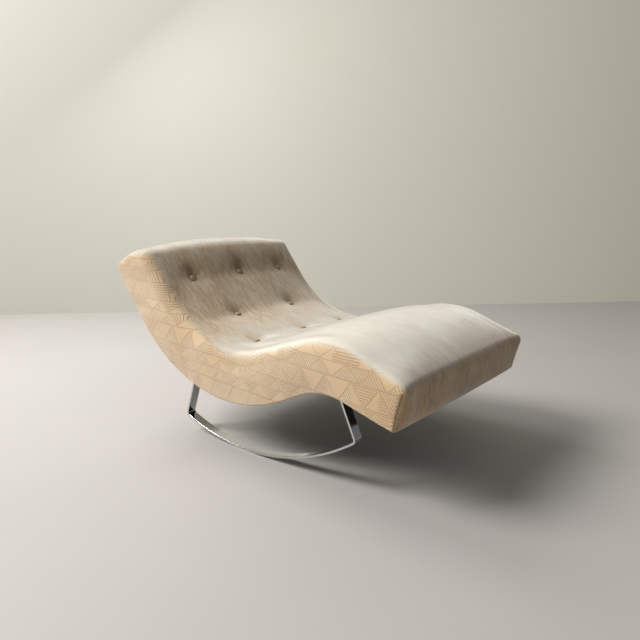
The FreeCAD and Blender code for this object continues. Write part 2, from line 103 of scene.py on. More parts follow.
# %% Shader helpers
class Signal:
    """One output socket that can be used in Python arithmetic."""

    def __init__(self, finish, socket):
        self.finish = finish
        self.socket = socket

    def math(self, operation, *others):
        values = dict(enumerate((self, *others)))
        return self.finish.node("ShaderNodeMath", {"operation": operation}, values)

    def __add__(self, other):
        return self.math("ADD", other)

    def __radd__(self, other):
        return self.math("ADD", other)

    def __sub__(self, other):
        return self.math("SUBTRACT", other)

    def __rsub__(self, other):
        return self.finish.node("ShaderNodeMath", {"operation": "SUBTRACT"}, {0: other, 1: self})

    def __mul__(self, other):
        return self.math("MULTIPLY", other)

    def __rmul__(self, other):
        return self.math("MULTIPLY", other)

    def clamped(self):
        return self.finish.node("ShaderNodeClamp", {}, {"Value": self})

    def between(self, low, high, start=0.0, end=1.0):
        """Runs from start to end while the signal runs from low to high."""
        return self.finish.node("ShaderNodeMapRange", {"interpolation_type": "SMOOTHSTEP"},
                                {"Value": self, "From Min": low, "From Max": high,
                                 "To Min": start, "To Max": end})


class Finish:
    """A material made of a Principled shader, with its constants set on the shader's sockets."""

    def __init__(self, name, **constants):
        self.material = bpy.data.materials.new(name)
        self.material.use_nodes = True
        self.tree = self.material.node_tree
        self.shader = self.tree.nodes["Principled BSDF"]
        for key, value in constants.items():
            self.shader.inputs[key.replace("_", " ")].default_value = value

    def node(self, kind, settings=None, values=None, output=0):
        made = self.tree.nodes.new(kind)
        for key, value in (settings or {}).items():
            setattr(made, key, value)
        for key, value in (values or {}).items():
            if isinstance(value, Signal):
                self.tree.links.new(value.socket, made.inputs[key])
            else:
                made.inputs[key].default_value = value
        return Signal(self, made.outputs[output])

    def feed(self, socket, signal):
        self.tree.links.new(signal.socket, self.shader.inputs[socket])

    def place(self):
        return self.node("ShaderNodeTexCoord", output="Object")

    def mapped(self, vector, scale=(1, 1, 1), turn=(0, 0, 0)):
        return self.node("ShaderNodeMapping", {},
                         {"Vector": vector, "Scale": scale, "Rotation": turn})

    def clouds(self, vector, scale, detail=3.0, roughness=0.5):
        return self.node("ShaderNodeTexNoise", {},
                         {"Vector": vector, "Scale": scale, "Detail": detail,
                          "Roughness": roughness})

    def part(self, vector, axis):
        return self.node("ShaderNodeSeparateXYZ", {}, {"Vector": vector}, axis)

    def mix(self, factor, one, two):
        def colour(value):
            return value if isinstance(value, Signal) else (*value, 1.0)
        return self.node("ShaderNodeMix", {"data_type": "RGBA"},
                         {0: factor, 6: colour(one), 7: colour(two)}, 2)

    def bump(self, height, distance):
        self.feed("Normal", self.node("ShaderNodeBump", {}, {"Height": height, "Strength": 1.0,
                                                             "Distance": distance}))


# %% [markdown]
# ## Floor, backdrop and light
# A plain pale floor, a backdrop with a painted gradient of light and three soft lamps. The
# strongest one stands to the left of the piece, as daylight from one side would, so the near side
# is bright and the inner face of the back is in soft shade. The world fills the rest evenly.

# %% Floor, backdrop and light
def flat_plane(name, corners, material):
    mesh = bpy.data.meshes.new(name)
    mesh.from_pydata(corners, [], [(0, 1, 2, 3)])
    plane = bpy.data.objects.new(name, mesh)
    bpy.context.scene.collection.objects.link(plane)
    mesh.materials.append(material)


floor_finish = Finish("floor_paint", Roughness=0.62)
floor_tone = floor_finish.clouds(floor_finish.place(), 1.3, 4.0)
floor_finish.feed("Base Color", floor_finish.mix(floor_tone, (0.415, 0.392, 0.372),
                                                 (0.455, 0.432, 0.412)))
flat_plane("floor", [(-7, -7, 0), (7, -7, 0), (7, 7, 0), (-7, 7, 0)], floor_finish.material)

backdrop_finish = Finish("backdrop_paint", Roughness=0.9)
wall_place = backdrop_finish.place()
# Painted light on the backdrop: its colour runs from a dim tone at the left end, as the camera
# sees it, to a bright one at the right end.
along_wall = (backdrop_finish.part(wall_place, 0) * camera_right.x
              + backdrop_finish.part(wall_place, 1) * camera_right.y)
wall_tone = backdrop_finish.clouds(wall_place, 0.9, 4.0)
backdrop_finish.feed("Base Color", backdrop_finish.mix(
    (along_wall + wall_tone * 0.4).between(-3.2, 3.2), (0.50, 0.495, 0.44), (0.74, 0.72, 0.61)))
wall_half_length, wall_height = 7, 6
wall_middle = Vector((-1.9, 2.2, 0))
wall_run, wall_rise = camera_right * wall_half_length, Vector((0, 0, wall_height))
flat_plane("backdrop", [wall_middle - wall_run, wall_middle + wall_run,
                        wall_middle + wall_run + wall_rise,
                        wall_middle - wall_run + wall_rise], backdrop_finish.material)


def softbox(name, place, aim, width, height, power, colour):
    data = bpy.data.lights.new(name, "AREA")
    data.shape = "RECTANGLE"
    data.size, data.size_y = width, height
    data.energy = power
    data.color = colour
    lamp = bpy.data.objects.new(name, data)
    lamp.location = place
    lamp.rotation_euler = (Vector(aim) - Vector(place)).to_track_quat("-Z", "Y").to_euler()
    bpy.context.scene.collection.objects.link(lamp)


# Name, place and aim in metres, width and height in metres, power in watts, colour
softbox("side_light", (-3.7, -4.1, 5.6), (0, 0, 0.3), 3.4, 3.4, 740, (1.0, 0.985, 0.96))
softbox("room_light", (-2.3, 0.0, 3.1), (0.2, 0, 0.4), 1.2, 1.2, 50, (0.96, 0.98, 1.0))
softbox("near_fill", (1.5, -3.9, 1.0), (0.2, 0, 0.35), 2.4, 1.8, 11, (1.0, 0.93, 0.84))

world = bpy.data.worlds.new("studio")
world.use_nodes = True
background = world.node_tree.nodes["Background"]
background.inputs["Color"].default_value = (0.9, 0.92, 0.95, 1)
background.inputs["Strength"].default_value = 0.21
bpy.context.scene.world = world

# %% [markdown]
# ## Cut velvet
# Velvet is dark where one looks straight into the pile and pale where one looks along it. The
# Principled shader's sheen gives a part of that, and three values painted on the mesh give the
# rest: `side_panel` is 1 on the two sides, where a plain geometric relief of bands and ribbed
# triangles is cut into the pile, `painted_sheen_shade` runs from 0 where the velvet is golden
# and in painted shade to 1 where it has a pale painted sheen, and `seam_and_shade` is 1 along the
# stitch line at the foot and in a ring of painted shade round each button. The pile lies in long
# brushed streaks.

# %% Velvet relief
def relief(finish, place):
    """1 in the cut lines of bands of ribbed triangles and 0 on the uncut velvet, seen from the
    side.
    """
    band_height, triangle_width, rib_pitch = 0.054, 0.104, 0.0088
    band_tilt, wander_rate, wander = math.radians(-4.0), 38, 0.17
    most_shift = 3
    plain_share, level_share, change = 0.30, 0.65, 0.01
    border_depth, edge_depth = 0.8, 0.6
    turned = finish.mapped(place, turn=(0, band_tilt, 0))
    x, z = finish.part(turned, 0), finish.part(turned, 2)
    band = z * (1 / band_height) + (z * wander_rate).math("SINE") * wander
    row = band.math("FLOOR")
    up = band - row
    shift = finish.node("ShaderNodeTexWhiteNoise", {"noise_dimensions": "1D"}, {"W": row})
    along = x * (1 / triangle_width) + shift * most_shift
    cell = along.math("FLOOR")
    zigzag = ((along - cell) * 2 - 1).math("ABSOLUTE")
    inside = (zigzag - up).between(-0.02, 0.02)
    address = finish.node("ShaderNodeCombineXYZ", {}, {0: cell, 1: row, 2: inside.math("ROUND")})
    choice = finish.node("ShaderNodeTexWhiteNoise", {"noise_dimensions": "3D"},
                         {"Vector": address})
    rib_turn = 2 * math.pi / rib_pitch
    level = (z * rib_turn).math("SINE").between(0.15, 0.85)
    leaning = ((x * 0.78 + z * 0.63) * rib_turn).math("SINE").between(0.15, 0.85)
    ribs = level * choice.between(plain_share, plain_share + change)
    ribs = ribs * choice.between(level_share + change, level_share)
    ribs = ribs + leaning * choice.between(level_share, level_share + change)
    border = (up - 0.5).math("ABSOLUTE").between(0.452, 0.476)
    edge = (zigzag - up).math("ABSOLUTE").between(0.070, 0.020)
    return ribs.math("MAXIMUM", border * border_depth).math("MAXIMUM", edge * edge_depth)


# %% Velvet
velvet = Finish("beige_velvet", Roughness=0.85, Sheen_Weight=0.9, Sheen_Roughness=0.38,
                Specular_IOR_Level=0.12)
velvet.shader.inputs["Sheen Tint"].default_value = (1.0, 0.98, 0.94, 1.0)
place = velvet.place()
place_x, place_z = velvet.part(place, 0), velvet.part(place, 2)
chart = velvet.node("ShaderNodeUVMap", {"uv_map": "cloth"})
side_share = velvet.node("ShaderNodeAttribute", {"attribute_name": "side_panel"}, output="Fac")
cut = relief(velvet, place) * side_share.between(0.03, 0.30)
brush_turn = (0, 0, math.radians(30))
streaks = velvet.clouds(velvet.mapped(chart, scale=(19, 74, 1), turn=brush_turn), 1.0, 5.0, 0.65)
brushed = streaks.between(0.36, 0.66)
broad = velvet.clouds(velvet.mapped(chart, scale=(6, 14, 1), turn=brush_turn), 1.0, 2.0)
patches = velvet.clouds(place, 5.5, 3.0)
fuzz = velvet.clouds(place, 520, 2.0)
towards_foot = place_x.between(0.25, 0.85)
side_tone = velvet.mix(patches.between(0.35, 0.65), (0.57, 0.42, 0.262), (0.64, 0.485, 0.318))
side_tone = velvet.mix(towards_foot * 0.7, side_tone, (0.62, 0.43, 0.235))
side_tone = velvet.mix(cut * 0.38, side_tone, (0.27, 0.165, 0.085))
# Sheen and shade painted on the mesh: high values paint a pale sheen, low values paint shade.
painted_sheen_shade = velvet.node("ShaderNodeAttribute", {"attribute_name": "painted_sheen_shade"}, output="Fac")
golden = velvet.mix(brushed, (0.35, 0.258, 0.165), (0.49, 0.378, 0.258))
golden = velvet.mix(towards_foot * 0.9, golden,
                    velvet.mix(brushed, (0.35, 0.226, 0.116), (0.50, 0.340, 0.186)))
# A pale tone painted where grazing light gives the velvet its sheen: painted sheen.
painted_sheen = velvet.mix(brushed, (0.655, 0.615, 0.525), (0.70, 0.667, 0.585))
# The painted sheen and shade, with broad random variation.
sheen_shade_level = painted_sheen_shade + (broad - 0.5) * 0.8
top_tone = velvet.mix(sheen_shade_level.clamped(), golden, painted_sheen)
# Painted shade: a dull grey tone where the painted sheen is only partial, as on the lower back.
grazing_shade = sheen_shade_level.between(0.05, 0.40) * sheen_shade_level.between(0.92, 0.50)
top_tone = velvet.mix(grazing_shade * 0.36, top_tone, (0.34, 0.318, 0.285))
# Painted shade: a deep brown where the painted value falls below zero, above the buttons.
top_tone = velvet.mix(sheen_shade_level.between(0.06, -0.55) * 0.85, top_tone, (0.17, 0.112, 0.066))
tone = velvet.mix((side_share + (patches - 0.5) * 0.25).between(0.04, 0.50), top_tone, side_tone)
seam_and_shade = velvet.node("ShaderNodeAttribute", {"attribute_name": "seam_and_shade"}, output="Fac")
# A dark stitch line at the foot corner, and a ring of painted shade round each button.
tone = velvet.mix(seam_and_shade.between(0.35, 0.95) * 0.75, tone, (0.11, 0.075, 0.045))
tone = velvet.mix(fuzz.between(0.40, 0.75) * 0.14, tone, (0.22, 0.16, 0.10))
velvet.feed("Base Color", tone)
foot_lean, pucker_pitch, pucker_from, pucker_to = 0.30, 0.013, 0.605, 0.645
foot_line = place_x - place_z * foot_lean
puckers = (place_z * (2 * math.pi / pucker_pitch) + patches * 9).math("SINE")
puckers = puckers * foot_line.between(pucker_from, pucker_to) * side_share
velvet.bump(1 - cut + fuzz * 0.4 + streaks * (1 - side_share) * 0.8 + puckers * 0.8, 0.0014)

# %% [markdown]
# ## The outline of the body
# Seen from the side the body is nine straight runs joined by arcs. The same corners and radii
# carry the wooden frame inside, so the velvet is drawn from them too. The padding is highest at
# mid width: each run has a crown at its start and its end, and the crown follows half an
# ellipse over the width. A ring of points that has the same count at every width then makes a
# clean grid of four-sided faces, which cloth simulation likes.

# %% The outline
# Corner (x, z), arc radius, how much the arc widens at mid width (None follows the crown), and
# the crown at the start and the end of the run that follows it
CORNERS = [
    ((-0.5521, 0.7471), 0.030, None, (0.058, 0.058)),
    ((-0.6409, 0.7518), 0.250, 0.0, (0.058, 0.050)),
    ((-0.7644, 0.6889), 0.015, None, (0.0, 0.0)),
    ((-0.2542, 0.0382), 0.718, None, (0.0, 0.0)),
    ((0.4458, 0.3499), 0.260, None, (0.0, 0.0)),
    ((0.7292, 0.2659), 0.014, None, (0.008, 0.008)),
    ((0.7719, 0.4075), 0.022, 0.022, (0.008, 0.060)),
    ((0.4738, 0.5154), 0.350, None, (0.060, 0.020)),
    ((-0.2121, 0.3135), 0.512, None, (0.020, 0.058)),
]
CREST_RUNS, UNDER_RUNS, FOOT_RUNS, TOP_RUNS = (0, 1), (2, 3, 4), (5,), (6, 7, 8)
half_width = 0.440


def crossing(a, b, c, d):
    u, v = b - a, d - c
    return a + u * ((c - a).cross(v) / u.cross(v))


def rounded_corners(crown):
    """Where each corner's arc starts, ends and has its centre, with the runs moved out."""
    points = [Vector(corner[0]) for corner in CORNERS]
    runs = []
    for i, (_, _, _, crowns) in enumerate(CORNERS):
        a, b = points[i], points[(i + 1) % len(points)]
        along = (b - a).normalized()
        out = Vector((along.y, -along.x))
        runs.append((a + out * crowns[0] * crown, b + out * crowns[1] * crown))
    points = [crossing(*runs[i - 1], *runs[i]) for i in range(len(runs))]
    arcs = []
    for i, (_, radius, widens, crowns) in enumerate(CORNERS):
        before, after = points[i - 1] - points[i], points[(i + 1) % len(points)] - points[i]
        hollow = before.cross(after) > 0
        if widens is None:
            widens = (CORNERS[i - 1][3][1] + crowns[0]) / 2
        radius += -widens * crown if hollow else widens * crown
        before.normalize()
        after.normalize()
        half = before.angle(after) / 2
        centre = points[i] + (before + after).normalized() * (radius / math.sin(half))
        reach = radius / math.tan(half)
        arcs.append((points[i] + before * reach, points[i] + after * reach, centre))
    return arcs


HALF_ARC = 24


def arc_points(start, end, centre):
    turn = -(start - centre).angle_signed(end - centre) / (2 * HALF_ARC)
    return [centre + mathutils.Matrix.Rotation(turn * k, 2) @ (start - centre)
            for k in range(2 * HALF_ARC + 1)]


def chain(runs, arcs):
    """The line along some runs, from mid arc before the first to mid arc after the last."""
    line = arc_points(*arcs[runs[0]])[HALF_ARC:]
    for i in runs:
        arc = arc_points(*arcs[(i + 1) % len(arcs)])
        line += arc[:HALF_ARC + 1] if i == runs[-1] else arc
    return line


def evenly(line, count):
    """The same line as this many evenly spaced points."""
    lengths = [0.0]
    for a, b in zip(line, line[1:]):
        lengths.append(lengths[-1] + (b - a).length)
    made = []
    at = 0
    for k in range(count):
        target = lengths[-1] * k / (count - 1)
        while at < len(line) - 2 and lengths[at + 1] < target:
            at += 1
        span = max(lengths[at + 1] - lengths[at], 1e-9)
        made.append(line[at].lerp(line[at + 1], min((target - lengths[at]) / span, 1.0)))
    return made


LONG, SHORT = 172, 24


def ring(crown):
    """The closed outline as 2 x (LONG + SHORT - 2) points, from the crest's front corner."""
    arcs = rounded_corners(crown)
    points = []
    for runs, count in ((CREST_RUNS, SHORT), (UNDER_RUNS, LONG), (FOOT_RUNS, SHORT),
                        (TOP_RUNS, LONG)):
        points += evenly(chain(runs, arcs), count)[:-1]
    return points


flat_ring = ring(0.0)
print("ring:", len(flat_ring), "points, x", round(min(p.x for p in flat_ring), 3), "to",
      round(max(p.x for p in flat_ring), 3), "z", round(min(p.y for p in flat_ring), 3), "to",
      round(max(p.y for p in flat_ring), 3))

# %% [markdown]
# ## The velvet body
# The real cover is one skin pulled tight over foam. Its long edges are rounded with about the
# radius of a thumb on top and are nearly sharp below, where the cloth turns under and is
# stapled. The grid is a set of rings across the width, and each end is closed by a patch that
# blends its four sides.

# %% The velvet body as a grid
CREST_END, UNDER_END, FOOT_END = SHORT - 1, SHORT + LONG - 2, 2 * SHORT + LONG - 3
RING = len(flat_ring)
edge_top, edge_crest, edge_under, edge_foot = 0.034, 0.025, 0.009, 0.020
foot_low_share, foot_fullness = 0.6, 0.012
under_blend, foot_blend, crest_blend = 6, 14, 10
rounding_steps = 8
across_steps = 92


def edge_radius(i):
    """How round the side edge is at this point of the ring. The blends are numbers of points."""
    if i <= CREST_END:
        near = i / CREST_END
        return edge_crest * (1 - near) + edge_under * near
    if i <= UNDER_END:
        near = max(0.0, 1 - (UNDER_END - i) / under_blend)
        return edge_under * (1 - near) + edge_foot * foot_low_share * near
    if i <= FOOT_END:
        near = (i - UNDER_END) / (FOOT_END - UNDER_END)
        share = foot_low_share + (1 - foot_low_share) * near
        return edge_foot * share + foot_fullness * math.sin(math.pi * near)
    from_foot = min((i - FOOT_END) / foot_blend, 1.0)
    from_crest = min((RING - i) / crest_blend, 1.0)
    return edge_top - (edge_top - edge_foot) * (1 - from_foot) - (edge_top - edge_crest) * (
        1 - from_crest) ** 2


def ring_normals(points):
    normals = []
    for i in range(len(points)):
        along = (points[(i + 1) % len(points)] - points[i - 1]).normalized()
        normals.append(Vector((along.y, -along.x)))
    return normals


def fade(value, low, high):
    """0 at low and before it, 1 at high and after it, and smooth between them."""
    share = min(max((value - low) / (high - low), 0.0), 1.0)
    return share * share * (3 - 2 * share)


lengths = [0.0]
for a, b in zip(flat_ring, flat_ring[1:]):
    lengths.append(lengths[-1] + (b - a).length)
dust_from = 0.430
dust_start = lengths[CREST_END] + dust_from
swelling = 0.008
recess = 0.003


def slack(i, y):
    """How far the cover starts inside its final place: room to swell, or room for the cloth."""
    from_side = half_width - abs(y)
    if CREST_END < i < UNDER_END:
        past_start = fade(lengths[i], dust_start, dust_start + 0.01)
        return recess * past_start * fade(from_side, 0.011, 0.016)
    from_end = min(abs(lengths[i] - lengths[CREST_END]), abs(lengths[i] - lengths[UNDER_END]),
                   abs(lengths[-1] + lengths[CREST_END] - lengths[i]))
    return swelling * fade(from_side, edge_top, 0.10) * fade(from_end, 0.02, 0.08)


stations = [(-1, math.pi / 2 * k / rounding_steps) for k in range(rounding_steps)]
stations += [(0, k / across_steps) for k in range(across_steps + 1)]
stations += [(1, math.pi / 2 * (1 - (k + 1) / rounding_steps)) for k in range(rounding_steps)]

seam_step = 3
seam_turn = math.pi / 2 * seam_step / rounding_steps
seam_depth = 0.0022
most_golden = 0.30
rounding_count = len(stations)
radii = [edge_radius(i) for i in range(RING)]
places, side_mask, seam_and_shade_mask, cloth_map = [], [], [], []


def up_the_back(i):
    """1 on the front of the back, where the side's golden velvet turns round the edge, else 0."""
    return fade(lengths[-1] - lengths[i], 0.72, 0.30) * (i > FOOT_END)


for hand, value in stations:
    for i in range(RING):
        r = radii[i]
        seam_and_shade = 0.0
        if hand:
            y = hand * (half_width - r * (1 - math.cos(value)))
            inset = r * (1 - math.sin(value))
            golden_edge = most_golden * up_the_back(i)
            side = golden_edge + (1 - golden_edge) * (1 - value / (math.pi / 2)) ** (
                1.7 - 1.1 * up_the_back(i))
            if UNDER_END < i < FOOT_END and abs(value - seam_turn) < 0.01:
                inset += seam_depth
                seam_and_shade = 1.0
        else:
            y = (half_width - r) * (2 * value - 1)
            inset = slack(i, y)
            side = most_golden * up_the_back(i) * fade(half_width - r - abs(y), 0.045, 0.0)
        places.append((i, y, inset))
        side_mask.append(side)
        seam_and_shade_mask.append(seam_and_shade)
        cloth_map.append((lengths[i], y))

crown_rings = {}


def ring_at(y):
    """The ring and its normals at this width, worked out once for each step of the crown."""
    crown = round(math.sqrt(max(0.0, 1 - (y / half_width) ** 2)), 3)
    if crown not in crown_rings:
        points = ring(crown)
        crown_rings[crown] = (points, ring_normals(points))
    return crown_rings[crown]


vertices = []
for i, y, inset in places:
    points, normals = ring_at(y)
    p = points[i] - normals[i] * inset
    vertices.append(Vector((p.x, y, p.y)))

faces = []
for j in range(rounding_count - 1):
    for i in range(RING):
        k = (i + 1) % RING
        faces.append((j * RING + i, j * RING + k, (j + 1) * RING + k, (j + 1) * RING + i))


side_fullness = 0.007


def side_patch(start, outwards):
    """Closes one end with a grid between the long upper and lower lines of the ring."""
    upper = [start + (FOOT_END + k) % RING for k in range(LONG)][::-1]
    lower = [start + CREST_END + k for k in range(LONG)]
    crest = [start + k for k in range(SHORT)]
    foot = [start + FOOT_END - k for k in range(SHORT)]
    grid = []
    for m in range(SHORT):
        v = m / (SHORT - 1)
        row = []
        for k in range(LONG):
            u = k / (LONG - 1)
            if m == 0:
                row.append(upper[k])
            elif m == SHORT - 1:
                row.append(lower[k])
            elif k == 0:
                row.append(crest[m])
            elif k == LONG - 1:
                row.append(foot[m])
            else:
                p = (vertices[upper[k]] * (1 - v) + vertices[lower[k]] * v
                     + vertices[crest[m]] * (1 - u) + vertices[foot[m]] * u
                     - vertices[upper[0]] * (1 - u) * (1 - v) - vertices[upper[-1]] * u * (1 - v)
                     - vertices[lower[0]] * (1 - u) * v - vertices[lower[-1]] * u * v)
                full = side_fullness * math.sin(math.pi * u) ** 0.6 * math.sin(math.pi * v) ** 1.6
                row.append(len(vertices))
                vertices.append(Vector((p.x, p.y + outwards * full, p.z)))
                side_mask.append(1.0)
                seam_and_shade_mask.append(0.0)
                cloth_map.append((p.x, p.z))
        grid.append(row)
    for m in range(SHORT - 1):
        for k in range(LONG - 1):
            quad = (grid[m][k], grid[m][k + 1], grid[m + 1][k + 1], grid[m + 1][k])
            faces.append(quad if outwards > 0 else quad[::-1])


body_faces = len(faces)
side_patch(0, -1)
side_patch((rounding_count - 1) * RING, 1)

mesh = bpy.data.meshes.new("velvet_body")
mesh.from_pydata(vertices, [], faces)
shape = bmesh.new()
shape.from_mesh(mesh)
bmesh.ops.recalc_face_normals(shape, faces=shape.faces)
print("open edges:", sum(1 for e in shape.edges if len(e.link_faces) != 2),
      "volume:", round(shape.calc_volume(signed=True), 3), "m3")
shape.to_mesh(mesh)
shape.free()
velvet_body = bpy.data.objects.new("velvet_body", mesh)
bpy.context.scene.collection.objects.link(velvet_body)
mesh.polygons.foreach_set("use_smooth", [True] * len(mesh.polygons))
for name, values in (("side_panel", side_mask), ("seam_and_shade", seam_and_shade_mask)):
    mesh.attributes.new(name, "FLOAT", "POINT").data.foreach_set("value", values)

back_length = 0.95


def sheen_shade_share(length, y):
    """Painted sheen and shade: 0 where the velvet is golden and in painted shade, 1 where it has a
    pale painted sheen.

    The shares were chosen for the crest and rear, then the foot, slope and hump, then
    the back from the hollow up to the crest.
    """
    foot_from, foot_to, end = lengths[UNDER_END], lengths[FOOT_END], lengths[-1]
    if length < foot_from:
        return 0.56 - 0.26 * fade(length, 0.08, 0.20)
    if length < end - back_length:
        far = 0.5 + 0.5 * y / half_width
        on_slope = fade(length, foot_to - 0.01, foot_to + 0.10 + 0.24 * far)
        return 0.02 + (0.58 - 0.38 * far) * fade(length, foot_to - 0.035, foot_to + 0.06) + (
            0.40 + 0.38 * far) * on_slope
    down_back = end - length
    near_edge = 0.35 * fade(-y, 0.28, 0.43) * fade(down_back, 0.30, 0.0)
    lying = 1.0 - 0.38 * fade(down_back, back_length, 0.58) - 0.57 * fade(down_back, 0.70, 0.42)
    return lying + near_edge + 0.48 * fade(down_back, 0.03, -0.03)


# The painted sheen and shade are stored on the mesh as one value for each point.
mesh.attributes.new("painted_sheen_shade", "FLOAT", "POINT")
chart = mesh.uv_layers.new(name="cloth")
for polygon in mesh.polygons:
    around = [v % RING for v in polygon.vertices]
    wraps = polygon.index < body_faces and max(around) - min(around) > RING / 2
    for loop, v in zip(polygon.loop_indices, polygon.vertices):
        length, y = cloth_map[v]
        if wraps and v % RING == 0:
            length = lengths[-1] + (flat_ring[0] - flat_ring[-1]).length
        chart.data[loop].uv = (length, y)
mesh.materials.append(velvet.material)
print("velvet body:", len(mesh.vertices), "points,", len(mesh.polygons), "faces")

# %% [markdown]
# ## Tufts and the tight cover
# Each button is tied down to a washer below the slats. The cover is first pressed in at each
# button, with a few folds round it, and then cloth simulation blows it out against those points.
# The wood behind the sides and the stapled underside hold it everywhere else, and a cap keeps
# the swelling small. The raw moves crease at each row of buttons, so they are evened out over
# the grid, as firm foam does under cloth. Light and shade are painted on the velvet too: painted
# shade above each button, a painted highlight below it, and a ring of painted shade where the
# cloth gathers.

# %% Button places
def solid_middles(node, apart):
    """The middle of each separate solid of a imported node."""
    groups = []
    for vertex in frame["nodes"][node].data.vertices:
        for group in groups:
            if (group[0] - vertex.co).length < apart:
                group.append(vertex.co.copy())
                break
        else:
            groups.append([vertex.co.copy()])
    return [sum(group, Vector()) / len(group) for group in groups]


def cover_surface():
    """The velvet as it is now, ready to be searched."""
    return mathutils.bvhtree.BVHTree.FromPolygons(
        [v.co for v in mesh.vertices], [tuple(p.vertices) for p in mesh.polygons])


surface = cover_surface()
tufts = []
for middle in solid_middles("tuft_buttons", 0.06):
    spot, normal, _, _ = surface.find_nearest(middle)
    tufts.append((spot, normal))
print("buttons:", len(tufts), [tuple(round(c, 3) for c in spot) for spot, _ in tufts])

# %% Press the cover in at the buttons
button_sink, bell_width = 0.018, 0.034
hollow_depth, hollow_width = 0.005, 0.075
fold_count, fold_height, fold_middle, fold_width = 7, 0.0011, 0.028, 0.014
reach_along, reach_through = 0.30, 0.07


def oval(above, beside, middle, length, width):
    """1 at a place above the button and less round it, in a soft oval."""
    return math.exp(-((above - middle) / length) ** 2 - (beside / width) ** 2)


pressed = [0.0] * len(mesh.vertices)
sheen_shade_values = [sheen_shade_share(*place) for place in cloth_map]
for vertex in mesh.vertices:
    start = vertex.co.copy()
    for spot, normal in tufts:
        offset = start - spot
        if offset.length > reach_along or abs(offset.dot(normal)) > reach_through:
            continue
        flat = offset - normal * offset.dot(normal)
        r = flat.length
        bell = 1 / (1 + (r / bell_width) ** 2) ** 2
        pressed[vertex.index] = max(pressed[vertex.index], bell)
        # A ring of painted shade round the button, where the cloth gathers under its rim.
        seam_and_shade_mask[vertex.index] = max(seam_and_shade_mask[vertex.index], fade(r, 0.028, 0.010))
        depth = (button_sink - swelling) * bell
        depth += hollow_depth * (1 - bell) * math.exp(-(r / hollow_width) ** 2)
        along = normal.cross(Vector((0, 1, 0)))
        above = flat.dot(along)
        angle = math.atan2(flat.y, above)
        depth -= fold_height * math.cos(fold_count * angle + 20 * spot.y) * math.exp(
            -((r - fold_middle) / fold_width) ** 2)
        vertex.co -= normal * depth
        # A painted highlight below each button and painted shade above it, stronger on the upper
        # rows.
        painted_highlight, painted_shade = 0.22, 0.22 + 0.33 * fade(spot.z, 0.42, 0.56)
        sheen_shade_values[vertex.index] += painted_highlight * oval(above, flat.y, -0.035, 0.028, 0.045)
        sheen_shade_values[vertex.index] -= painted_shade * oval(above, flat.y, 0.034, 0.045, 0.034)
mesh.attributes["painted_sheen_shade"].data.foreach_set("value", sheen_shade_values)
mesh.attributes["seam_and_shade"].data.foreach_set("value", seam_and_shade_mask)
print("most pressed:", round(max(pressed), 3), "pile from", round(min(sheen_shade_values), 2), "to",
      round(max(sheen_shade_values), 2))

# %% Blow the cover out with cloth simulation
def relaxed(moves, hold, times=26):
    """Evens the moves out over the rings, as firm foam does under cloth; held points stay."""
    rings = np.array(moves)[:rounding_count * RING].reshape(rounding_count, RING, 3)
    loose = (np.array(hold)[:rounding_count * RING] < 1.0).reshape(rounding_count, RING, 1)
    for _ in range(times):
        beside = (np.roll(rings, 1, 0) + np.roll(rings, -1, 0) + np.roll(rings, 1, 1)
                  + np.roll(rings, -1, 1)) / 4
        rings = (rings + beside) / 2 * loose
    return rings.reshape(-1, 3).tolist() + moves[rounding_count * RING:]


def swell(piece, hold, most, steps=20):
    """Runs cloth with inner pressure; hold is 0 to 1 for each point, most caps its movement."""
    start = [v.co.copy() for v in piece.data.vertices]
    group = piece.vertex_groups.new(name="hold")
    for index, weight in enumerate(hold):
        group.add([index], weight, "REPLACE")
    cloth = piece.modifiers.new("swell", "CLOTH")
    cloth.settings.quality = 5
    cloth.settings.vertex_group_mass = "hold"
    cloth.settings.use_pressure = True
    cloth.settings.uniform_pressure_force = 4.0
    cloth.settings.effector_weights.gravity = 0.0
    cloth.settings.tension_stiffness = 20
    cloth.settings.compression_stiffness = 20
    cloth.settings.bending_stiffness = 1.5
    cloth.point_cache.frame_start = 1
    cloth.point_cache.frame_end = steps
    scene = bpy.context.scene
    for step in range(1, steps + 1):
        scene.frame_set(step)
    posed = piece.evaluated_get(bpy.context.evaluated_depsgraph_get())
    moved = [v.co.copy() for v in posed.data.vertices]
    piece.modifiers.remove(cloth)
    piece.vertex_groups.remove(group)
    scene.frame_set(1)
    moves = []
    for before, after, cap in zip(start, moved, most):
        move = after - before
        if move.length > 1e-9:
            move *= cap * math.tanh(move.length / max(cap, 1e-9)) / move.length
        moves.append(move)
    moves = relaxed(moves, hold)
    for vertex, before, move in zip(piece.data.vertices, start, moves):
        vertex.co = before + Vector(move)
    return max(Vector(move).length for move in moves)


tied_share, most_swelling = 0.80, 0.012
hold, most = [], []
for vertex in mesh.vertices:
    index = vertex.index
    ring_index = index % RING if index < rounding_count * RING else None
    free = 1.0
    if ring_index is None or CREST_END < ring_index < UNDER_END:
        free = 0.0
    else:
        free = fade(half_width - abs(vertex.co.y), 0.0, 0.05)
    hold.append(1.0 if pressed[index] > tied_share else 1 - free)
    most.append(most_swelling * free)
print("the cover swelled by up to", round(swell(velvet_body, hold, most), 4), "m")

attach(velvet_body, "root")
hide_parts("top_cover", "right_side_cover", "left_side_cover", "outer_back_cover",
            "seat_foam", "crest_foam", "foot_foam", "right_side_foam", "left_side_foam",
            "deck_cloth")

# %% [markdown]
# ## Covered buttons
# A covered button is a small dome with the cloth gathered under its rim. One dome is modelled
# and Geometry Nodes set a copy on each tuft, turned to the surface there.

# %% One button
button_radius, button_height, gathers, gather_share = 0.0128, 0.0075, 18, 0.035


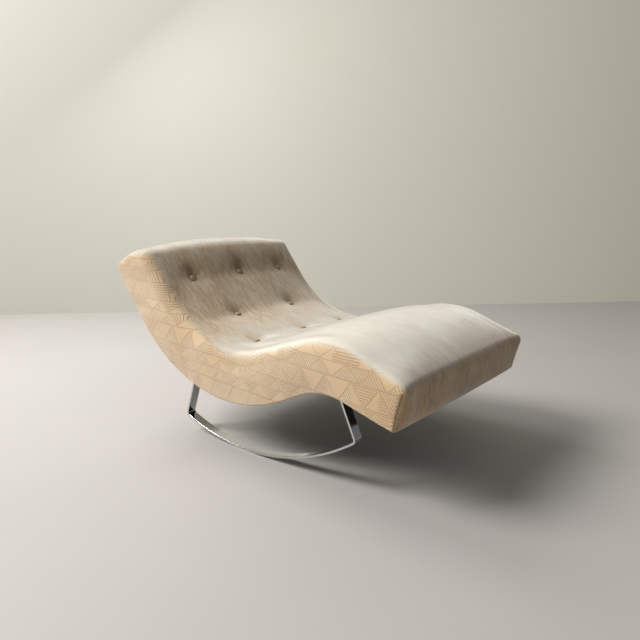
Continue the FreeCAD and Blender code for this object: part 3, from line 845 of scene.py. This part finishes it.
def button_mesh():
    """A dome turned from its profile of radius and height shares, gathered at the rim."""
    profile = [(0.0, 1.0), (0.30, 0.97), (0.55, 0.87), (0.75, 0.70), (0.90, 0.46), (0.98, 0.22),
               (1.0, 0.0), (0.93, -0.22), (0.72, -0.36)]
    turns = 4 * gathers
    made = bmesh.new()
    rows = []
    for share, height in profile:
        if share == 0.0:
            rows.append([made.verts.new((0, 0, button_height * height))])
            continue
        row = []
        for k in range(turns):
            angle = 2 * math.pi * k / turns
            at_rim = fade(share - height * 0.4, 0.55, 1.0)
            gather = 1 + gather_share * at_rim * math.cos(gathers * angle)
            row.append(made.verts.new((button_radius * share * gather * math.cos(angle),
                                       button_radius * share * gather * math.sin(angle),
                                       button_height * height)))
        rows.append(row)
    for k in range(turns):
        made.faces.new((rows[0][0], rows[1][k], rows[1][(k + 1) % turns]))
        for upper, lower in zip(rows[1:], rows[2:]):
            made.faces.new((upper[k], lower[k], lower[(k + 1) % turns], upper[(k + 1) % turns]))
    made.faces.new(rows[-1][::-1])
    bmesh.ops.recalc_face_normals(made, faces=made.faces)
    result = bpy.data.meshes.new("button")
    made.to_mesh(result)
    made.free()
    result.polygons.foreach_set("use_smooth", [True] * len(result.polygons))
    return result


one_button = bpy.data.objects.new("one_button", button_mesh())
print("one button:", len(one_button.data.polygons), "faces")

# %% Buttons set on the tufts with Geometry Nodes
def node_tree(name, inputs):
    """A Geometry Nodes tree with a geometry input and output and the named inputs."""
    tree = bpy.data.node_groups.new(name, "GeometryNodeTree")
    tree.interface.new_socket("Geometry", in_out="INPUT", socket_type="NodeSocketGeometry")
    tree.interface.new_socket("Geometry", in_out="OUTPUT", socket_type="NodeSocketGeometry")
    for label, kind in inputs:
        tree.interface.new_socket(label, in_out="INPUT", socket_type=kind)
    return tree


def joined(tree, kind, links=None, values=None, **settings):
    """Adds a node, sets its settings, and links or sets its inputs."""
    made = tree.nodes.new(kind)
    for key, value in settings.items():
        setattr(made, key, value)
    for key, value in (values or {}).items():
        made.inputs[key].default_value = value
    for key, socket in (links or {}).items():
        tree.links.new(socket, made.inputs[key])
    return made


def plain_mesh(carrier, name, tree, settings):
    """Runs the tree on the carrier and returns its result as a plain mesh object."""
    modifier = carrier.modifiers.new("made", "NODES")
    modifier.node_group = tree
    for item in tree.interface.items_tree:
        if item.in_out == "INPUT" and item.name in settings:
            modifier[item.identifier] = settings[item.name]
    bpy.context.scene.collection.objects.link(carrier)
    posed = carrier.evaluated_get(bpy.context.evaluated_depsgraph_get())
    result = bpy.data.meshes.new_from_object(posed)
    result.name = name
    bpy.data.objects.remove(carrier)
    piece = bpy.data.objects.new(name, result)
    bpy.context.scene.collection.objects.link(piece)
    return piece


def set_on_points(name, points, normals, model, material, scale=1.0):
    """Copies of a model on points, each with its Z axis along the point's normal."""
    tree = node_tree(name + "_tree", [("Model", "NodeSocketObject"), ("Size", "NodeSocketFloat"),
                                      ("Material", "NodeSocketMaterial")])
    start = joined(tree, "NodeGroupInput")
    axis = joined(tree, "GeometryNodeInputNamedAttribute", values={"Name": "axis"},
                  data_type="FLOAT_VECTOR")
    turn = joined(tree, "FunctionNodeAlignRotationToVector",
                  {"Vector": axis.outputs["Attribute"]}, axis="Z")
    model_info = joined(tree, "GeometryNodeObjectInfo", {"Object": start.outputs["Model"]})
    copies = joined(tree, "GeometryNodeInstanceOnPoints",
                    {"Points": start.outputs["Geometry"],
                     "Instance": model_info.outputs["Geometry"],
                     "Rotation": turn.outputs["Rotation"], "Scale": start.outputs["Size"]})
    real = joined(tree, "GeometryNodeRealizeInstances", {"Geometry": copies.outputs["Instances"]})
    painted = joined(tree, "GeometryNodeSetMaterial",
                     {"Geometry": real.outputs["Geometry"],
                      "Material": start.outputs["Material"]})
    joined(tree, "NodeGroupOutput", {"Geometry": painted.outputs["Geometry"]})
    cloud = bpy.data.meshes.new(name + "_points")
    cloud.from_pydata(points, [], [])
    axes = cloud.attributes.new("axis", "FLOAT_VECTOR", "POINT")
    axes.data.foreach_set("vector", [c for normal in normals for c in normal])
    carrier = bpy.data.objects.new(name + "_carrier", cloud)
    return plain_mesh(carrier, name, tree, {"Model": model, "Size": scale, "Material": material})


surface = cover_surface()
ray_height, button_lift = 0.05, 0.0015
button_spots = []
for spot, normal in tufts:
    hit = surface.ray_cast(spot + normal * ray_height, -normal)[0]
    button_spots.append(hit + normal * button_lift)
    print("button at", [round(c, 3) for c in hit], "sunk", round((spot - hit).dot(normal), 4))
button_velvet = Finish("button_velvet", Roughness=0.9, Sheen_Weight=0.5, Sheen_Roughness=0.3,
                       Specular_IOR_Level=0.15)
button_pile = button_velvet.clouds(button_velvet.place(), 420, 3.0)
button_velvet.feed("Base Color", button_velvet.mix(button_pile, (0.27, 0.19, 0.12),
                                                   (0.44, 0.335, 0.23)))
button_velvet.bump(button_pile, 0.0006)
velvet_buttons = set_on_points("velvet_buttons", button_spots, [normal for _, normal in tufts],
                               one_button, button_velvet.material)
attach(velvet_buttons, "root")
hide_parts("tuft_buttons")
print("buttons:", len(velvet_buttons.data.polygons), "faces")

# %% [markdown]
# ## The black cloth below
# A thin black cloth closes the underside so that no dust falls out of it. It is stapled along
# both sides through a folded hem, and between two staples its edge pulls in a little.

# %% The dust cloth
staple_pitch, first_staple, dust_half = 0.070, 0.465, 0.4285
cloth_thickness, edge_pull, pucker_height = 0.0007, 0.003, 0.0007
even_sag, uneven_sag = 0.0026, 0.0012


def under_point(length):
    """Point and normal of the underside at this length from the crest's rear."""
    target = lengths[CREST_END] + length
    i = CREST_END
    while i < UNDER_END - 1 and lengths[i + 1] < target:
        i += 1
    share = (target - lengths[i]) / (lengths[i + 1] - lengths[i])
    normals = ring_normals(flat_ring)
    p = flat_ring[i].lerp(flat_ring[i + 1], share)
    n = normals[i].lerp(normals[i + 1], share).normalized()
    return p, n


under_length = lengths[UNDER_END] - lengths[CREST_END]
dust_to = under_length - 0.012
along_cells, width_cells = 150, 74
dust_vertices, dust_faces = [], []
for a in range(along_cells + 1):
    length = dust_from + (dust_to - dust_from) * a / along_cells
    p, n = under_point(length)
    pull = math.sin(math.pi * (length - first_staple) / staple_pitch) ** 2
    for b in range(width_cells + 1):
        v = 2 * b / width_cells - 1
        y = dust_half * v - math.copysign(edge_pull * pull * fade(abs(v), 0.9, 1.0), v)
        middle = 1 - abs(v) ** 3
        uneven = noise.noise(Vector((length * 5, y * 4, 3.1)))
        sag = even_sag * middle + uneven_sag * middle * uneven
        pucker = pucker_height * math.cos(2 * math.pi * (length - first_staple) / staple_pitch)
        sag -= pucker * fade(abs(v), 0.75, 0.95)
        ends = fade(min(length - dust_from, dust_to - length), 0.0, 0.03)
        out = -cloth_thickness + max(sag, 0.0) * ends
        dust_vertices.append((p.x + n.x * out, y, p.y + n.y * out))
row = width_cells + 1
for a in range(along_cells):
    for b in range(width_cells):
        dust_faces.append((a * row + b, a * row + b + 1, (a + 1) * row + b + 1, (a + 1) * row + b))
dust_mesh = bpy.data.meshes.new("dust_cloth")
dust_mesh.from_pydata(dust_vertices, [], dust_faces)
shape = bmesh.new()
shape.from_mesh(dust_mesh)
if sum(face.normal.z for face in shape.faces) > 0:
    bmesh.ops.reverse_faces(shape, faces=shape.faces)
shape.to_mesh(dust_mesh)
shape.free()
dust_mesh.polygons.foreach_set("use_smooth", [True] * len(dust_mesh.polygons))
dust_cloth = bpy.data.objects.new("dust_cloth", dust_mesh)
bpy.context.scene.collection.objects.link(dust_cloth)
black_cloth = Finish("black_nonwoven", Specular_IOR_Level=0.2)
fibres = black_cloth.clouds(black_cloth.mapped(black_cloth.place(), scale=(1, 2.2, 1)), 330, 4.0,
                            0.7)
bonds = black_cloth.node("ShaderNodeTexVoronoi", {"feature": "F1"},
                         {"Vector": black_cloth.place(), "Scale": 420.0})
black_cloth.feed("Base Color", black_cloth.mix(fibres, (0.012, 0.012, 0.013),
                                               (0.045, 0.045, 0.047)))
black_cloth.feed("Roughness", 0.72 + fibres * 0.2)
black_cloth.bump(fibres + bonds.between(0.0, 0.3) * 0.6, 0.0003)
dust_mesh.materials.append(black_cloth.material)
thick = dust_cloth.modifiers.new("thickness", "SOLIDIFY")
thick.thickness = cloth_thickness
thick.offset = -1
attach(dust_cloth, "root")
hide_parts("dust_cover")
print("dust cloth:", round(dust_to - dust_from, 3), "m long,", len(dust_faces), "faces")

# %% [markdown]
# ## Finishes of the frame
# The rockers are bent flat steel bar, polished and chromed. Chromium reflects a little over half
# of the light, so its colour stays well under white, and its roughness is low and slightly
# uneven, as hand polishing leaves it. Inside are sawn softwood, birch plywood, zinc plated
# fixings, nylon ties and moulded button backs.

# %% Metal finishes
chrome = Finish("polished_chrome", Metallic=1.0)
wiped = chrome.clouds(chrome.mapped(chrome.place(), scale=(3, 30, 3)), 3.0, 4.0)
smears = chrome.clouds(chrome.place(), 42, 3.0)
chrome.feed("Base Color", chrome.mix(wiped, (0.50, 0.505, 0.505), (0.58, 0.585, 0.59)))
chrome.feed("Roughness", 0.045 + wiped * 0.05 + smears.between(0.55, 0.75) * 0.05)
chrome.bump(wiped, 0.00012)

zinc = Finish("zinc_plated_steel", Metallic=1.0)
spangle = zinc.clouds(zinc.place(), 260, 2.0)
zinc.feed("Base Color", zinc.mix(spangle, (0.48, 0.48, 0.46), (0.62, 0.62, 0.60)))
zinc.feed("Roughness", 0.30 + spangle * 0.18)
zinc.bump(spangle, 0.0001)

# %% Wood, nylon and cloth finishes
softwood = Finish("sawn_softwood", Specular_IOR_Level=0.3)
rings = softwood.node("ShaderNodeTexWave", {"wave_type": "RINGS", "rings_direction": "Y"},
                      {"Vector": softwood.mapped(softwood.place(), scale=(1, 0.06, 1)),
                       "Scale": 22.0, "Distortion": 5.0, "Detail": 3.0, "Detail Scale": 1.2}, 1)
saw = softwood.clouds(softwood.mapped(softwood.place(), scale=(1, 0.05, 1)), 300, 2.0)
softwood.feed("Base Color", softwood.mix(rings, (0.50, 0.33, 0.17), (0.68, 0.50, 0.31)))
softwood.feed("Roughness", 0.62 + saw * 0.2)
softwood.bump(saw, 0.0004)

plywood = Finish("birch_plywood", Specular_IOR_Level=0.3)
ply_pitch = 0.0030
plies = plywood.part(plywood.place(), 1).math("ABSOLUTE") * (2 * math.pi / ply_pitch)
grain = plywood.clouds(plywood.mapped(plywood.place(), scale=(3, 40, 24)), 4.0, 5.0)
ply_tone = plywood.mix(grain, (0.60, 0.44, 0.27), (0.74, 0.60, 0.41))
plywood.feed("Base Color", plywood.mix(plies.math("SINE").between(-0.2, 0.6) * 0.3, ply_tone,
                                       (0.40, 0.26, 0.14)))
plywood.feed("Roughness", 0.55 + grain * 0.2)
plywood.bump(grain, 0.0002)

nylon = Finish("nylon", Specular_IOR_Level=0.5)
strands = nylon.clouds(nylon.mapped(nylon.place(), scale=(1, 1, 0.2)), 500, 2.0)
nylon.feed("Base Color", nylon.mix(strands, (0.66, 0.64, 0.58), (0.82, 0.80, 0.74)))
nylon.feed("Roughness", 0.35 + strands * 0.15)
nylon.bump(strands, 0.0001)

moulded = Finish("moulded_shell", Specular_IOR_Level=0.4)
specks = moulded.clouds(moulded.place(), 700, 2.0)
moulded.feed("Base Color", moulded.mix(specks, (0.05, 0.05, 0.052), (0.09, 0.09, 0.092)))
moulded.feed("Roughness", 0.42 + specks * 0.12)
moulded.bump(specks, 0.0001)

NODE_FINISHES = {
    chrome: ("right_rocker", "left_rocker"),
    zinc: ("rocker_bolts", "bolt_washers", "tee_nuts", "frame_screws", "cover_staples"),
    softwood: ("rear_mount_rail", "front_mount_rail", "crest_rail", "foot_rail",
               "corner_blocks", "deck_slats"),
    plywood: ("right_side_rib", "left_side_rib", "centre_rib"),
    nylon: ("tuft_ties", "tuft_washers"),
    moulded: ("button_backs",),
}
for finish, nodes in NODE_FINISHES.items():
    for node in nodes:
        for slot in frame["nodes"][node].material_slots:
            slot.material = finish.material
print("finished nodes:", sum(len(nodes) for nodes in NODE_FINISHES.values()))
